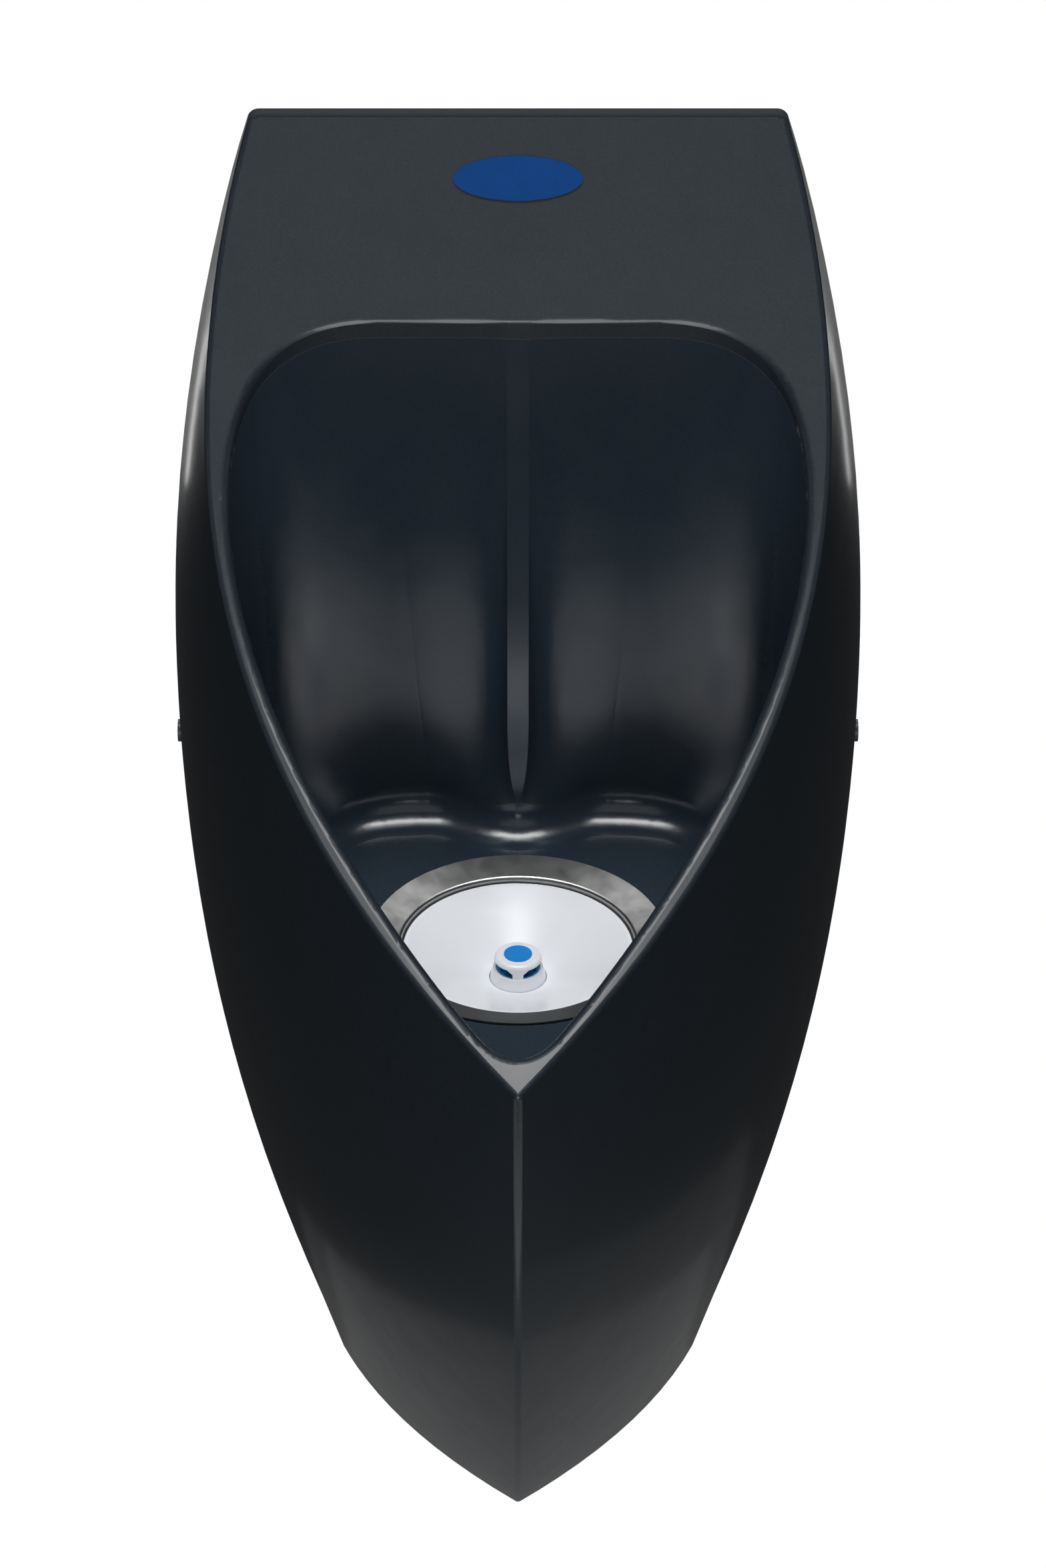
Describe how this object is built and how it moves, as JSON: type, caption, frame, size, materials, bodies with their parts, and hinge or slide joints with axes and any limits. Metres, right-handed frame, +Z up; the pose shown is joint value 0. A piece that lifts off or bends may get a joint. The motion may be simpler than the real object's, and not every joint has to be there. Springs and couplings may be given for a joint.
{
  "type": "waterless urinal",
  "caption": "Wall-hung waterless urinal with a bow-shaped moulded hull, bonded bowl liner with splash ridge, steel trap collar, lift-out trap insert with inlet cap, and drain to the wall.",
  "frame": {"origin": "middle of the wall bracket's two bolt holes, on the wall's plane", "axes": "+X to the right seen by the user, +Y into the wall, +Z up"},
  "size_m": [0.3632, 0.3526, 0.79],
  "materials": {
    "gelcoat": "satin gelcoat over glass-fibre laminate",
    "liner_gelcoat": "glossy gelcoat over glass-fibre laminate",
    "badge_blue": "gloss, plain",
    "collar_steel": "polished stainless sheet",
    "seal_rubber": "matt",
    "drain_plastic": "moulded polypropylene",
    "pipe_plastic": "moulded polypropylene",
    "trap_white": "gloss",
    "trap_blue": "gloss",
    "fixing_steel": "stainless",
    "bracket_steel": "zinc grey",
    "batten_wood": "sealed plywood",
    "cap_grey": "satin"
  },
  "bodies": {
    "urinal": {"hull_shell": "gelcoat", "bowl_liner": "liner_gelcoat", "oval_badge": "badge_blue", "trap_collar": "collar_steel", "collar_gasket": "seal_rubber", "floor_washer": "seal_rubber", "drain_housing": "drain_plastic", "outlet_washer": "seal_rubber", "outlet_nut": "drain_plastic", "outlet_elbow": "pipe_plastic", "tail_pipe": "pipe_plastic", "tail_washer": "seal_rubber", "tail_nut": "drain_plastic", "wall_bracket": "bracket_steel", "hanging_batten": "batten_wood", "lower_bracket_left": "bracket_steel", "lower_bracket_right": "bracket_steel", "side_screws": "fixing_steel", "side_caps": "cap_grey"},
    "trap_insert": {"trap_dish": "trap_white", "insert_seal_ring": "seal_rubber", "trap_cup": "trap_white", "cup_screws": "fixing_steel", "inlet_strainer": "trap_blue"},
    "cap": {"inlet_cap": "trap_white", "cap_disc": "trap_blue"}
  },
  "joints": [
    {"name": "insert_lift", "type": "slide", "parent": "urinal", "child": "trap_insert", "axis": [0, 0, 1], "range_m": [0, 0.12]},
    {"name": "cap_lift", "type": "slide", "parent": "trap_insert", "child": "cap", "axis": [0, 0, 1], "range_m": [0, 0.03]}
  ]
}
